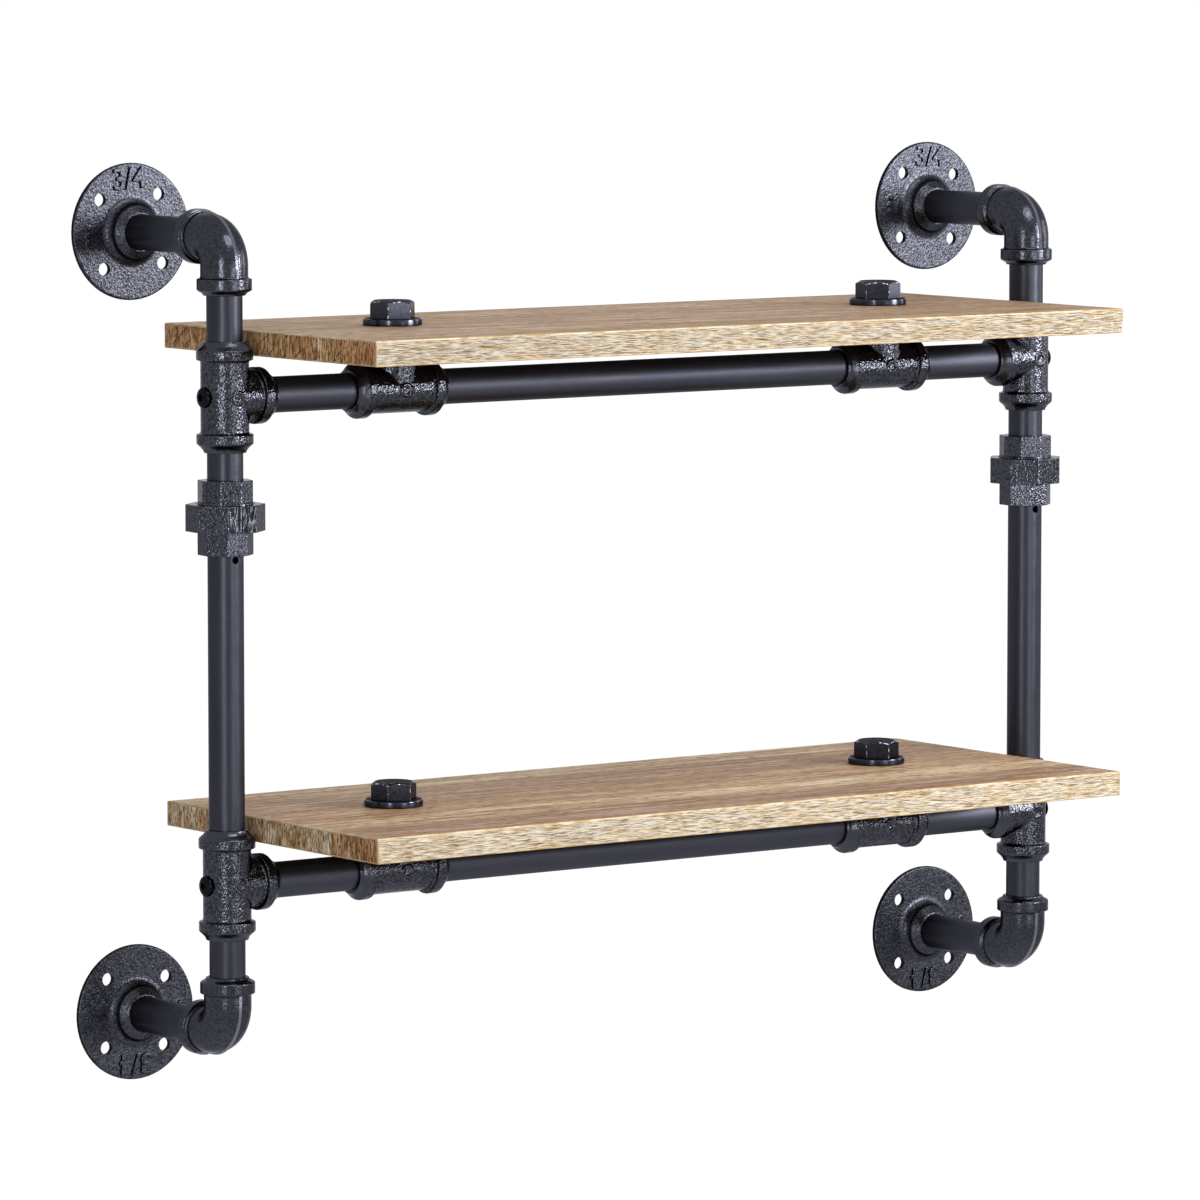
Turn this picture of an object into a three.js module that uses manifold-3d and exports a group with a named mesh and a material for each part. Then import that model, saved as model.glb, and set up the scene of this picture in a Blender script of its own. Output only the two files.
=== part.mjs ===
// Wall-hung pipe shelving unit: two boards carried by a frame of threaded pipe and cast iron fittings.
// Millimetres. +X runs along the shelves, +Y points at the wall and +Z is up.
// The origin lies on the wall plane, midway between the four wall flanges.

import * as THREE from 'three';
import { mergeVertices } from 'three/addons/utils/BufferGeometryUtils.js';
import Module from 'manifold-3d';

const wasm = await Module();
wasm.setup();

// Overall layout
const postSpacing = 762;
const flangeSpacing = 590;
const armReach = 130;

// Lengths of pipe that show between one fitting and the next on a post
const upperRiserShow = 33.7;
const lowerRiserShow = 27.7;
const nippleShow = 20.2;

// Pipe: three-quarter inch nominal, screwed into every fitting by the same length
const pipeRadius = 13.45;
const pipeWall = 2.6;
const threadEngagement = 14;
const ventHoleRadius = 2.8;
const ventHoleDrop = 3.3;

// Fits and cuts
const contactGap = 0.3;
const runningGap = 0.7;
const cutOverrun = 1;
const joinOverlap = 0.6;

// Tees
const teeBarrelRadius = 18.05;
const teeBandRadius = 21.2;
const teeBandWidth = 6.9;
const teeRunReach = 34.3;
const teeBranchReach = 31;
const teeTaper = 6.8;
const boardSeatHeight = 28.4;
const castBossRadius = 4.9;
const castBossRise = 0.8;

// Elbows
const elbowBarrelRadius = 17.75;
const elbowBandRadius = 20.5;
const elbowBandWidth = 8;
const elbowReach = 38;
const elbowTaper = 4.2;
const elbowThroatRadius = 3.25;
const partingRidgeWidth = 1.8;
const partingRidgeRise = 0.7;

// What every cast mouth shares: the wall left at its lip, and the slope behind its band
const mouthLipWall = 1.1;
const bandStep = 0.9;
const flareAlongShare = 0.42;
const flareOutShare = 0.3;

// Wall flanges
const flangeRadius = 51.5;
const flangePlateThickness = 4.2;
const flangeRimChamfer = 0.8;
const flangeFilletSpread = 6.7;
const flangeHubRadius = 20.3;
const flangeHubShoulder = 11.4;
const flangeHubHeight = 17.5;
const flangeHoleRadius = 5;
const flangeHoleInset = 14.73;
const flangePipeStop = 3;
const flangeHoles = 4;

// Pipe unions: a tail piece, a captive nut and a threaded body
const unionEndAcrossFlats = 38.5;
const unionEndHeight = 17.3;
const unionNutWall = 3.6;
const unionNutHeight = 20.2;
const unionNutLip = 5.1;
const unionCollarHeight = 5.7;
const unionThreadStep = 2.36;
const unionThreadInset = 1;
const unionChamfer = 0.9;

// Button-head screws in the backs of the post tees
const screwHeadRadius = 7.7;
const screwHeadHeight = 3.5;
const screwShankRadius = 3.4;
const screwReachInside = 1.5;

// Shelf boards
const boardPostGap = 7.8;
const boardWallGap = 3;
const boardThickness = 19;
const boardFrontOverhang = 155;
const boardPlugInset = 121;
const boardArris = 1.2;
const boardHoleClearance = 0.8;

// Flanged hex plugs that clamp the boards to the rail tees
const plugWasherRadius = 22.3;
const plugWasherThickness = 5;
const plugWasherEdge = 1;
const plugHexAcrossFlats = 31;
const plugHexHeight = 13.6;
const plugCrownDrop = 2.6;
const plugCrownShare = 0.94;

// How the pieces happen to be turned, in degrees
const unionTurns = {
  left: { tail: 2.6, nut: 16.9, body: 16.6 },
  right: { tail: 42.7, nut: 27.4, body: 16.9 },
};
const flangeTurns = {
  left: { top: -3.7, bottom: 182 },
  right: { top: 2.4, bottom: 180 },
};
const plugTurns = {
  left: { upper: 14.9, lower: 11 },
  right: { upper: -9.3, lower: -4 },
};

// Numbers of sides and steps
const roundSides = 16;
const flangeSides = 24;
const smallSides = 8;
const bossSides = 8;
const octagonSides = 8;
const hexagonSides = 6;
const bendSteps = 4;
const boreBendSteps = 2;
const ridgeSteps = 4;

// Angles
const quarterTurn = Math.PI / 2;
const halfTurn = Math.PI;

// Values that follow from the sizes above
const boreRadius = pipeRadius + contactGap;
const mouthLipRadius = boreRadius + mouthLipWall;
const postX = postSpacing / 2;
const postY = -armReach;
const teeRunMouth = teeRunReach + teeTaper;
const teeBranchMouth = teeBranchReach + teeTaper;
const elbowMouth = elbowReach + elbowTaper;
const elbowBendRadius = elbowBarrelRadius + elbowThroatRadius;
const flangeFilletRadius = flangeHubRadius + flangeFilletSpread;
const flangeHoleCircleRadius = flangeRadius - flangeHoleInset;
const upperRailHeight = flangeSpacing / 2 - elbowMouth - upperRiserShow - teeRunMouth;
const lowerRailHeight = elbowMouth + lowerRiserShow + teeRunMouth - flangeSpacing / 2;
const unionNutHalf = unionNutHeight / 2;
const unionEndReach = unionNutHalf + contactGap + unionEndHeight;
const unionEndCorner = cornerRadius(unionEndAcrossFlats, octagonSides);
const unionThreadRadius = unionEndCorner + unionThreadStep;
const unionNutAcrossFlats = (unionThreadRadius + runningGap + unionNutWall) * 2;
const unionTailTop = upperRailHeight - teeRunMouth - nippleShow;
const unionHeight = unionTailTop - unionEndReach;
const unionBodyBottom = unionHeight - unionEndReach;
const boardLength = postSpacing - (teeBandRadius + boardPostGap) * 2;
const boardBackOverhang = armReach - boardWallGap;
const railTeeSpacing = boardLength - boardPlugInset * 2;

function cornerRadius(acrossFlats, sides) {
  return acrossFlats / 2 / Math.cos(Math.PI / sides);
}

// A closed geometry becomes a solid once its shared corners are merged and its pole slivers dropped
function solid(geometry) {
  const bare = geometry.clone();
  bare.deleteAttribute('normal');
  bare.deleteAttribute('uv');
  const merged = mergeVertices(bare);
  const index = merged.index.array;
  const kept = [];
  for (let i = 0; i < index.length; i += 3) {
    const [a, b, c] = [index[i], index[i + 1], index[i + 2]];
    if (a !== b && b !== c && c !== a) {
      kept.push(a, b, c);
    }
  }
  return new wasm.Manifold(new wasm.Mesh({
    numProp: 3,
    vertProperties: new Float32Array(merged.attributes.position.array),
    triVerts: new Uint32Array(kept),
  }));
}

function geometryOf(body) {
  const mesh = body.getMesh();
  const geometry = new THREE.BufferGeometry();
  geometry.setAttribute('position', new THREE.BufferAttribute(mesh.vertProperties, mesh.numProp));
  geometry.setIndex(new THREE.BufferAttribute(mesh.triVerts, 1));
  geometry.computeVertexNormals();
  return geometry;
}

// Revolves a profile of [radius, height] pairs about Z
function revolve(profile, sides = roundSides) {
  const points = profile.map(([radius, height]) => new THREE.Vector2(radius, height));
  return new THREE.LatheGeometry(points, sides).rotateX(quarterTurn);
}

function rod(radius, low, high, sides = roundSides) {
  return revolve([[0, low], [radius, low], [radius, high], [0, high]], sides);
}

// Both ends of a profile that is the same at its two mouths
function mirrored(upperHalf) {
  const lowerHalf = upperHalf.map(([radius, height]) => [radius, -height]).reverse();
  return [...lowerHalf, ...upperHalf];
}

// The end of a cast fitting: barrel, raised band and flared lip, closed to the axis at the mouth
function castMouth(barrelRadius, bandRadius, bandWidth, reach, taper) {
  const flareRadius = mouthLipRadius + (bandRadius - mouthLipRadius) * flareOutShare;
  return [
    [barrelRadius, reach - bandWidth - bandStep],
    [bandRadius, reach - bandWidth],
    [bandRadius, reach],
    [flareRadius, reach + taper * flareAlongShare],
    [mouthLipRadius, reach + taper],
    [0, reach + taper],
  ];
}

// Turned pieces point along X or at the room, starting from Z
function alongX(geometry, side = 1) {
  return geometry.rotateY(side * quarterTurn);
}

function towardRoom(geometry) {
  return geometry.rotateX(quarterTurn);
}

// Finishes, one for each kind of piece
function pipeFinish() {
  return new THREE.MeshStandardMaterial({ color: 0x2f3038, roughness: 0.45, metalness: 0.6 });
}

function castFinish() {
  return new THREE.MeshStandardMaterial({ color: 0x33343a, roughness: 0.55, metalness: 0.6 });
}

function plugFinish() {
  return new THREE.MeshStandardMaterial({ color: 0x24252b, roughness: 0.3, metalness: 0.7 });
}

function screwFinish() {
  return new THREE.MeshStandardMaterial({ color: 0x0d0d10, roughness: 0.25, metalness: 0.5 });
}

function boardFinish() {
  return new THREE.MeshStandardMaterial({ color: 0x9a8570, roughness: 0.7, metalness: 0 });
}

function piece(name, geometry, material) {
  const mesh = new THREE.Mesh(geometry, material);
  mesh.name = name;
  return mesh;
}

// A straight length of pipe along Z
function pipeBody(low, high) {
  const bore = rod(pipeRadius - pipeWall, low - cutOverrun, high + cutOverrun, smallSides);
  return solid(rod(pipeRadius, low, high)).subtract(solid(bore));
}

function pipeGeometry(low, high) {
  return geometryOf(pipeBody(low, high));
}

// The long post pipe, with a vent hole drilled in its front just below the union
function drilledPipeGeometry(low, high, holeHeight) {
  const drill = towardRoom(rod(ventHoleRadius, 0, pipeRadius + cutOverrun, smallSides));
  drill.translate(0, 0, holeHeight);
  return geometryOf(pipeBody(low, high).subtract(solid(drill)));
}

// A tee whose run lies along Z, with a round cast boss on its front
function teeRun() {
  const mouth = castMouth(teeBarrelRadius, teeBandRadius, teeBandWidth, teeRunReach, teeTaper);
  const boss = towardRoom(rod(castBossRadius, 0, teeBarrelRadius + castBossRise, bossSides));
  return solid(revolve(mirrored(mouth))).add(solid(boss));
}

function boredTee(body, branch, branchBore) {
  const runBore = rod(boreRadius, -teeRunMouth - cutOverrun, teeRunMouth + cutOverrun);
  return body.add(solid(branch)).subtract(solid(runBore)).subtract(solid(branchBore));
}

// The post tee takes the rail in its branch, and a screw in the back of its barrel
function postTeeGeometry(branchSide) {
  const mouth = castMouth(teeBarrelRadius, teeBandRadius, teeBandWidth, teeBranchReach, teeTaper);
  const branch = alongX(revolve([[0, 0], [teeBarrelRadius, 0], ...mouth]), branchSide);
  const branchBore = alongX(rod(boreRadius, 0, teeBranchMouth + cutOverrun), branchSide);
  const screwBore = rod(screwShankRadius + contactGap, 0, teeBarrelRadius + cutOverrun, smallSides);
  const tee = boredTee(teeRun(), branch, branchBore);
  return geometryOf(tee.subtract(solid(alongX(screwBore, -branchSide))));
}

// The rail tee's branch ends flat under the board
function railTeeGeometry() {
  const branch = alongX(revolve([
    [0, 0],
    [teeBarrelRadius, 0],
    [teeBarrelRadius, boardSeatHeight - teeBandWidth - bandStep],
    [teeBandRadius, boardSeatHeight - teeBandWidth],
    [teeBandRadius, boardSeatHeight],
    [0, boardSeatHeight],
  ]));
  const branchBore = alongX(rod(boreRadius, 0, boardSeatHeight + cutOverrun));
  return geometryOf(boredTee(teeRun(), branch, branchBore));
}

// The centre line of an elbow: a leg along Y, a quarter bend and a leg down Z, in rings
class ElbowPath extends THREE.Curve {
  constructor(bendRadius, leg, bendSteps) {
    super();
    this.bendRadius = bendRadius;
    this.leg = leg;
    this.bendSteps = bendSteps;
    this.rings = bendSteps + 2;
  }

  angleAt(share) {
    const ring = Math.round(share * this.rings) - 1;
    return THREE.MathUtils.clamp(ring / this.bendSteps, 0, 1) * quarterTurn;
  }

  getTangentAt(share) {
    const angle = this.angleAt(share);
    return new THREE.Vector3(0, -Math.cos(angle), -Math.sin(angle));
  }

  getPointAt(share) {
    const angle = this.angleAt(share);
    const reach = this.bendRadius;
    const point = new THREE.Vector3(0, reach - reach * Math.sin(angle), reach * Math.cos(angle) - reach);
    if (share === 0) {
      point.y = this.leg;
    }
    if (share === 1) {
      point.z = -this.leg;
    }
    return point;
  }
}

function tubeAlong(path, radius) {
  const section = new THREE.Shape();
  for (let i = 0; i < roundSides; i += 1) {
    const angle = (i / roundSides) * halfTurn * 2;
    const corner = new THREE.Vector2(radius * Math.cos(angle), radius * Math.sin(angle));
    if (i === 0) {
      section.moveTo(corner.x, corner.y);
    } else {
      section.lineTo(corner.x, corner.y);
    }
  }
  return new THREE.ExtrudeGeometry(section, { steps: path.rings, extrudePath: path });
}

// The moulding line that runs round the outside of an elbow's bend
function partingRidge() {
  const outer = elbowBendRadius + elbowBarrelRadius + partingRidgeRise;
  const inner = elbowBendRadius + elbowBarrelRadius - partingRidgeWidth;
  const legEnd = elbowReach - elbowBandWidth - elbowBendRadius;
  const outline = new THREE.Shape();
  outline.moveTo(outer, -legEnd);
  outline.absarc(0, 0, outer, 0, quarterTurn, false);
  outline.lineTo(-legEnd, outer);
  outline.lineTo(-legEnd, inner);
  outline.absarc(0, 0, inner, quarterTurn, 0, true);
  outline.lineTo(inner, -legEnd);
  const ridge = new THREE.ExtrudeGeometry(outline, {
    depth: partingRidgeWidth,
    bevelEnabled: false,
    curveSegments: ridgeSteps,
  });
  ridge.translate(0, 0, -partingRidgeWidth / 2);
  ridge.rotateY(-quarterTurn).rotateX(quarterTurn);
  return ridge.translate(0, elbowBendRadius, -elbowBendRadius);
}

// An elbow with one mouth at the wall (+Y) and one pointing down (-Z)
function elbowGeometry() {
  const legEnd = elbowReach - bandStep;
  const mouth = castMouth(elbowBarrelRadius, elbowBandRadius, elbowBandWidth, elbowReach, elbowTaper);
  const collar = [[0, elbowReach - elbowBandWidth - bandStep], ...mouth];
  const tubePath = new ElbowPath(elbowBendRadius, legEnd, bendSteps);
  const borePath = new ElbowPath(elbowBendRadius, elbowMouth + cutOverrun, boreBendSteps);
  const tube = tubeAlong(tubePath, elbowBarrelRadius);
  const bore = tubeAlong(borePath, boreRadius);
  const wallCollar = revolve(collar).rotateX(-quarterTurn);
  const postCollar = revolve(collar).rotateX(halfTurn);
  const body = [tube, wallCollar, postCollar, partingRidge()].map(solid).reduce((all, part) => all.add(part));
  return geometryOf(body.subtract(solid(bore)));
}

// A wall flange: round plate, filleted hub and four screw holes, with its back at zero
function flangeGeometry() {
  const filletMid = (flangeFilletRadius + flangeHubRadius) / 2;
  const hubFoot = (flangePlateThickness + flangeHubShoulder) / 2;
  const plate = solid(revolve([
    [0, 0],
    [flangeRadius, 0],
    [flangeRadius, flangePlateThickness - flangeRimChamfer],
    [flangeRadius - flangeRimChamfer, flangePlateThickness],
    [0, flangePlateThickness],
  ], flangeSides));
  const hub = solid(revolve([
    [0, joinOverlap],
    [flangeFilletRadius, joinOverlap],
    [flangeFilletRadius, flangePlateThickness],
    [filletMid, (flangePlateThickness + hubFoot) / 2],
    [flangeHubRadius, flangeHubShoulder],
    [mouthLipRadius, flangeHubHeight],
    [0, flangeHubHeight],
  ]));
  const bore = rod(boreRadius, -cutOverrun, flangeHubHeight + cutOverrun);
  let flange = plate.add(hub).subtract(solid(bore));
  for (let i = 0; i < flangeHoles; i += 1) {
    const hole = rod(flangeHoleRadius, -cutOverrun, flangePlateThickness + cutOverrun, smallSides);
    hole.rotateZ(-quarterTurn / 2);
    hole.translate(flangeHoleCircleRadius, 0, 0);
    hole.rotateZ((i / flangeHoles) * halfTurn * 2 + quarterTurn / 2);
    flange = flange.subtract(solid(hole));
  }
  return geometryOf(flange);
}

// An octagonal prism with chamfered ends
function octagon(acrossFlats, low, high, turn) {
  const corner = cornerRadius(acrossFlats, octagonSides);
  return revolve([
    [0, low],
    [corner - unionChamfer, low],
    [corner, low + unionChamfer],
    [corner, high - unionChamfer],
    [corner - unionChamfer, high],
    [0, high],
  ], octagonSides).rotateZ(THREE.MathUtils.degToRad(turn));
}

// The tail piece hangs its collar inside the nut, and its octagon shows above it
function unionTailGeometry(turn) {
  const octagonFoot = unionNutHalf + contactGap;
  const octagonTop = octagonFoot + unionEndHeight;
  const collarTop = unionNutHalf - unionNutLip - contactGap;
  const collarFoot = collarTop - unionCollarHeight;
  const core = revolve([
    [0, collarFoot],
    [unionThreadRadius, collarFoot],
    [unionThreadRadius, collarTop],
    [unionEndCorner, collarTop],
    [unionEndCorner, octagonFoot],
    [unionEndCorner - unionChamfer, octagonFoot + unionChamfer],
    [0, octagonFoot + unionChamfer],
  ]);
  const head = octagon(unionEndAcrossFlats, octagonFoot, octagonTop, turn);
  const bore = rod(boreRadius, collarFoot - cutOverrun, octagonTop + cutOverrun);
  return geometryOf(solid(core).add(solid(head)).subtract(solid(bore)));
}

// The nut's lip holds the collar, and its thread pulls the body up to it
function unionNutGeometry(turn) {
  const lipUnderside = unionNutHalf - unionNutLip;
  const lipBore = unionEndCorner + runningGap;
  const threadBore = unionThreadRadius + runningGap;
  const cavity = revolve([
    [0, -unionNutHalf - cutOverrun],
    [threadBore, -unionNutHalf - cutOverrun],
    [threadBore, lipUnderside],
    [lipBore, lipUnderside],
    [lipBore, unionNutHalf + cutOverrun],
    [0, unionNutHalf + cutOverrun],
  ]);
  const body = octagon(unionNutAcrossFlats, -unionNutHalf, unionNutHalf, turn);
  return geometryOf(solid(body).subtract(solid(cavity)));
}

// The threaded body meets the collar inside the nut, and its octagon shows below
function unionBodyGeometry(turn) {
  const seat = unionNutHalf - unionNutLip - unionCollarHeight - contactGap * 2;
  const threadFoot = unionThreadInset - unionNutHalf;
  const octagonFoot = -unionNutHalf - contactGap - unionEndHeight;
  const octagonTop = threadFoot + unionChamfer + joinOverlap;
  const thread = rod(unionThreadRadius, threadFoot, seat);
  const head = octagon(unionEndAcrossFlats, octagonFoot, octagonTop, turn);
  const bore = rod(boreRadius, octagonFoot - cutOverrun, seat + cutOverrun);
  return geometryOf(solid(thread).add(solid(head)).subtract(solid(bore)));
}

// A button-head screw along Z, its head starting at the barrel's outside
function teeScrewGeometry() {
  const headFoot = teeBarrelRadius + contactGap;
  const shankEnd = boreRadius - screwReachInside;
  const shoulderShare = 0.8;
  const brimShare = 0.35;
  return revolve([
    [0, shankEnd],
    [screwShankRadius, shankEnd],
    [screwShankRadius, headFoot],
    [screwHeadRadius, headFoot],
    [screwHeadRadius, headFoot + screwHeadHeight * brimShare],
    [screwHeadRadius * shoulderShare, headFoot + screwHeadHeight * shoulderShare],
    [0, headFoot + screwHeadHeight],
  ], bossSides);
}

// A flanged hex plug: shank, round washer face and crowned hexagon, with the board's top at zero
function plugGeometry(turn) {
  const washerTop = contactGap + plugWasherThickness;
  const hexTop = washerTop + plugHexHeight;
  const hexCorner = cornerRadius(plugHexAcrossFlats, hexagonSides);
  const crownRadius = plugHexAcrossFlats / 2 * plugCrownShare;
  const shankEnd = threadEngagement + boardThickness + contactGap;
  const washer = revolve([
    [0, contactGap],
    [plugWasherRadius, contactGap],
    [plugWasherRadius, washerTop - plugWasherEdge],
    [plugWasherRadius - plugWasherEdge, washerTop],
    [0, washerTop],
  ]);
  const hexagon = rod(hexCorner, washerTop - joinOverlap, hexTop, hexagonSides);
  const crown = revolve([
    [0, 0],
    [hexCorner + joinOverlap, 0],
    [hexCorner + joinOverlap, hexTop - plugCrownDrop],
    [crownRadius, hexTop],
    [0, hexTop],
  ]);
  const shank = rod(pipeRadius, -shankEnd, contactGap + joinOverlap);
  const head = solid(hexagon).intersect(solid(crown));
  return geometryOf(head.add(solid(washer)).add(solid(shank))).rotateZ(THREE.MathUtils.degToRad(turn));
}

// A board with eased arrises and a hole for each plug, its underside at zero
function boardGeometry() {
  const outline = new THREE.Shape();
  const endX = boardLength / 2 - boardArris;
  const front = boardArris - boardFrontOverhang;
  const back = boardBackOverhang - boardArris;
  outline.moveTo(-endX, front);
  outline.lineTo(endX, front);
  outline.lineTo(endX, back);
  outline.lineTo(-endX, back);
  const slab = new THREE.ExtrudeGeometry(outline, {
    depth: boardThickness - boardArris * 2,
    bevelEnabled: true,
    bevelThickness: boardArris,
    bevelSize: boardArris,
    bevelSegments: 1,
  });
  slab.translate(0, 0, boardArris);
  let board = solid(slab);
  for (const side of [-1, 1]) {
    const hole = rod(pipeRadius + boardHoleClearance, -cutOverrun, boardThickness + cutOverrun);
    board = board.subtract(solid(hole.translate(side * railTeeSpacing / 2, 0, 0)));
  }
  return geometryOf(board);
}

// One wall anchorage: flange, arm pipe and elbow; the bottom one is the top one turned over
function anchorage(name, level, flangeTurn) {
  const armFar = armReach - elbowMouth + threadEngagement;
  const flange = piece(`${name}_wall_flange`, flangeGeometry(), castFinish());
  const arm = piece(`${name}_arm_pipe`, pipeGeometry(flangePipeStop, armFar), pipeFinish());
  const elbow = piece(`${name}_elbow`, elbowGeometry(), castFinish());
  flange.rotation.set(quarterTurn, THREE.MathUtils.degToRad(flangeTurn), 0, 'YXZ');
  arm.rotation.x = quarterTurn;
  elbow.position.y = postY;
  const group = new THREE.Group();
  group.add(flange, arm, elbow);
  if (level < 0) {
    elbow.rotation.y = halfTurn;
  }
  group.position.z = level * flangeSpacing / 2;
  return group;
}

// A post tee with the screw in its back
function postTee(name, branchSide, height) {
  const tee = piece(`${name}_post_tee`, postTeeGeometry(branchSide), castFinish());
  const screw = piece(`${name}_tee_screw`, teeScrewGeometry(), screwFinish());
  screw.rotation.y = -branchSide * quarterTurn;
  const group = new THREE.Group();
  group.add(tee, screw);
  group.position.z = height;
  return group;
}

// The three pieces of a union
function pipeUnion(name, turns) {
  const tail = piece(`${name}_union_tail_piece`, unionTailGeometry(turns.tail), castFinish());
  const nut = piece(`${name}_union_nut`, unionNutGeometry(turns.nut), castFinish());
  const body = piece(`${name}_union_threaded_body`, unionBodyGeometry(turns.body), castFinish());
  const group = new THREE.Group();
  group.add(tail, nut, body);
  group.position.z = unionHeight;
  return group;
}

// A post: two anchorages, two tees, a union and the pipes between them
function post(name, branchSide) {
  const elbowPipeEnd = flangeSpacing / 2 - elbowMouth + threadEngagement;
  const teePipeEnd = teeRunMouth - threadEngagement;
  const group = new THREE.Group();
  const line = new THREE.Group();
  const middleTop = unionBodyBottom + threadEngagement;
  const middleFoot = lowerRailHeight + teePipeEnd;
  const ventHeight = unionBodyBottom - ventHoleDrop;
  const middle = drilledPipeGeometry(middleFoot, middleTop, ventHeight);
  line.add(
    piece(`${name}_upper_riser_pipe`, pipeGeometry(upperRailHeight + teePipeEnd, elbowPipeEnd), pipeFinish()),
    postTee(`${name}_upper`, branchSide, upperRailHeight),
    piece(
      `${name}_short_nipple`,
      pipeGeometry(unionTailTop - threadEngagement, upperRailHeight - teePipeEnd),
      pipeFinish(),
    ),
    pipeUnion(name, unionTurns[name]),
    piece(`${name}_middle_pipe`, middle, pipeFinish()),
    postTee(`${name}_lower`, branchSide, lowerRailHeight),
    piece(`${name}_lower_riser_pipe`, pipeGeometry(-elbowPipeEnd, lowerRailHeight - teePipeEnd), pipeFinish()),
  );
  line.position.y = postY;
  group.add(
    anchorage(`${name}_top`, 1, flangeTurns[name].top),
    line,
    anchorage(`${name}_bottom`, -1, flangeTurns[name].bottom),
  );
  group.position.x = -branchSide * postX;
  return group;
}

// A rail: stub, tee, middle pipe, tee and stub, with the board's plugs and the board on top
function shelf(name, height) {
  const teeX = railTeeSpacing / 2;
  const teeEnd = teeRunMouth - threadEngagement;
  const stubEnd = postX - teeBranchMouth + threadEngagement;
  const group = new THREE.Group();
  const middle = alongX(pipeGeometry(teeEnd - teeX, teeX - teeEnd));
  group.add(piece(`${name}_rail_middle_pipe`, middle, pipeFinish()));
  for (const [sideName, side] of [['left', -1], ['right', 1]]) {
    const stub = alongX(pipeGeometry(teeX + teeEnd, stubEnd), side);
    const tee = piece(`${name}_rail_${sideName}_tee`, railTeeGeometry(), castFinish());
    tee.rotation.y = -quarterTurn;
    tee.position.x = side * teeX;
    const plug = piece(`${name}_${sideName}_plug`, plugGeometry(plugTurns[sideName][name]), plugFinish());
    plug.position.set(side * teeX, 0, boardSeatHeight + contactGap + boardThickness);
    group.add(piece(`${name}_rail_${sideName}_stub`, stub, pipeFinish()), tee, plug);
  }
  const board = piece(`${name}_shelf_board`, boardGeometry(), boardFinish());
  board.position.z = boardSeatHeight + contactGap;
  group.add(board);
  group.position.set(0, postY, height);
  return group;
}

const shelvingUnit = new THREE.Group();
shelvingUnit.add(post('left', 1));
shelvingUnit.add(post('right', -1));
shelvingUnit.add(shelf('upper', upperRailHeight));
shelvingUnit.add(shelf('lower', lowerRailHeight));

export default shelvingUnit;
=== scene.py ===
import math

import bpy
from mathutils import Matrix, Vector


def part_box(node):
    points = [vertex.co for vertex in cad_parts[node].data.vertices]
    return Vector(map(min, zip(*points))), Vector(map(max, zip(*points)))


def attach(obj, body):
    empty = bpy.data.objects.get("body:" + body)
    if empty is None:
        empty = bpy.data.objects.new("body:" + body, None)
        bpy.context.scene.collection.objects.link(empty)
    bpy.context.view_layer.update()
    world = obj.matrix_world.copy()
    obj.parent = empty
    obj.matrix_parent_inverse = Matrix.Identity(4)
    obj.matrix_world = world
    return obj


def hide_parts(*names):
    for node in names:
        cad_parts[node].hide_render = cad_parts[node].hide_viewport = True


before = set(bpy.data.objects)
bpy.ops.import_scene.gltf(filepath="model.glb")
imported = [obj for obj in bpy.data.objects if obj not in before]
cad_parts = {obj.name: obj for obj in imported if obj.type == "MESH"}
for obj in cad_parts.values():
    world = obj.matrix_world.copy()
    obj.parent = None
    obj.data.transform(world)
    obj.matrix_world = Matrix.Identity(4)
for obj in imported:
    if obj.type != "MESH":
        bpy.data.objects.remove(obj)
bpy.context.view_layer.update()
MM = 0.001

# Camera. The unit is seen from its left and a little above, through a long lens, with the frame
# filled by the two posts.
view_azimuth = 36.146
view_fall = 5.5
camera_place = Vector((-3390.3, -4718.3, 555.4)) * MM
focal_length = 223.67
farthest_seen = 200

bpy.ops.object.camera_add(
    location=camera_place,
    rotation=(math.radians(90 - view_fall), 0, math.radians(-view_azimuth)),
)
camera = bpy.context.object
camera.data.lens = focal_length
camera.data.clip_end = farthest_seen
bpy.context.scene.camera = camera
bpy.context.scene.view_settings.view_transform = "Standard"


# Floor. A plain pale studio floor far below the unit, which hangs on a wall. It shows white to the
# lens and in reflections, and still takes the unit's shadow.
floor_drop = 4
floor_size = 160
floor_glow = 0.85


def linear(hex_colour):
    channels = [int(hex_colour[i:i + 2], 16) / 255 for i in (1, 3, 5)]
    return [c / 12.92 if c <= 0.04045 else ((c + 0.055) / 1.055) ** 2.4 for c in channels] + [1]


def add_node(tree, kind, inputs=None, **settings):
    """Adds a node with its settings. Each input takes a value or another node's output."""
    node = tree.nodes.new(kind)
    for name, value in settings.items():
        setattr(node, name, value)
    for name, value in (inputs or {}).items():
        if isinstance(value, bpy.types.NodeSocket):
            tree.links.new(value, node.inputs[name])
        else:
            node.inputs[name].default_value = value
    return node


def new_material(name):
    material = bpy.data.materials.new(name)
    material.use_nodes = True
    material.node_tree.nodes.clear()
    return material


def seen_as_backdrop(tree):
    """One for the lens, for reflections and through glass, and none for the light on things."""
    ray = add_node(tree, "ShaderNodeLightPath").outputs
    seen = add_node(tree, "ShaderNodeMath", {0: ray["Is Camera Ray"], 1: ray["Is Glossy Ray"]},
                    operation="MAXIMUM")
    return add_node(tree, "ShaderNodeMath", {0: seen.outputs[0], 1: ray["Is Transmission Ray"]},
                    operation="MAXIMUM").outputs[0]


white = linear("#ffffff")
pale = linear("#e6e6e6")

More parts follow.
